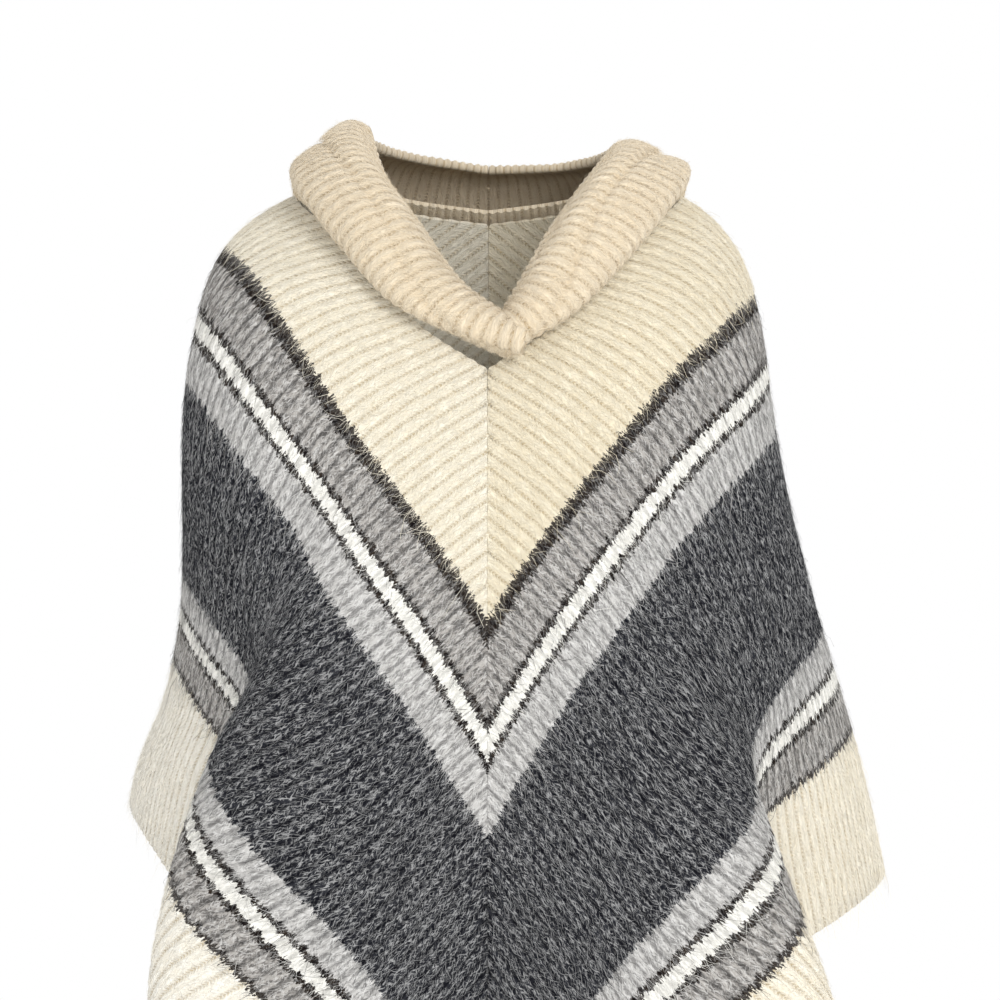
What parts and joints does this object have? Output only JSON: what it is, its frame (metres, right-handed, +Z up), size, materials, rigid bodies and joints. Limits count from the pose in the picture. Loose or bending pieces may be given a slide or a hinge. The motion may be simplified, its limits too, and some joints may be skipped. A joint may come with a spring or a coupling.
{
  "type": "hooded poncho",
  "caption": "Hooded pullover poncho of brushed rib-knit wool with two mitred side panels, chevron stripe bands and a hood lying down behind the neck.",
  "frame": {"origin": "midway between the shoulder ends of the neck seam, at their level, where the wearer's shoulders and neck hold the garment up", "axes": "+X towards the viewer's right, +Y towards the garment's back, +Z up"},
  "size_m": [0.5993, 0.4148, 1.1052],
  "materials": {
    "wool_panels": "matte",
    "wool_hood": "matte"
  },
  "bodies": {
    "root": {"panel_left": "wool_panels", "panel_right": "wool_panels", "hood_left": "wool_hood", "hood_right": "wool_hood"}
  },
  "joints": []
}
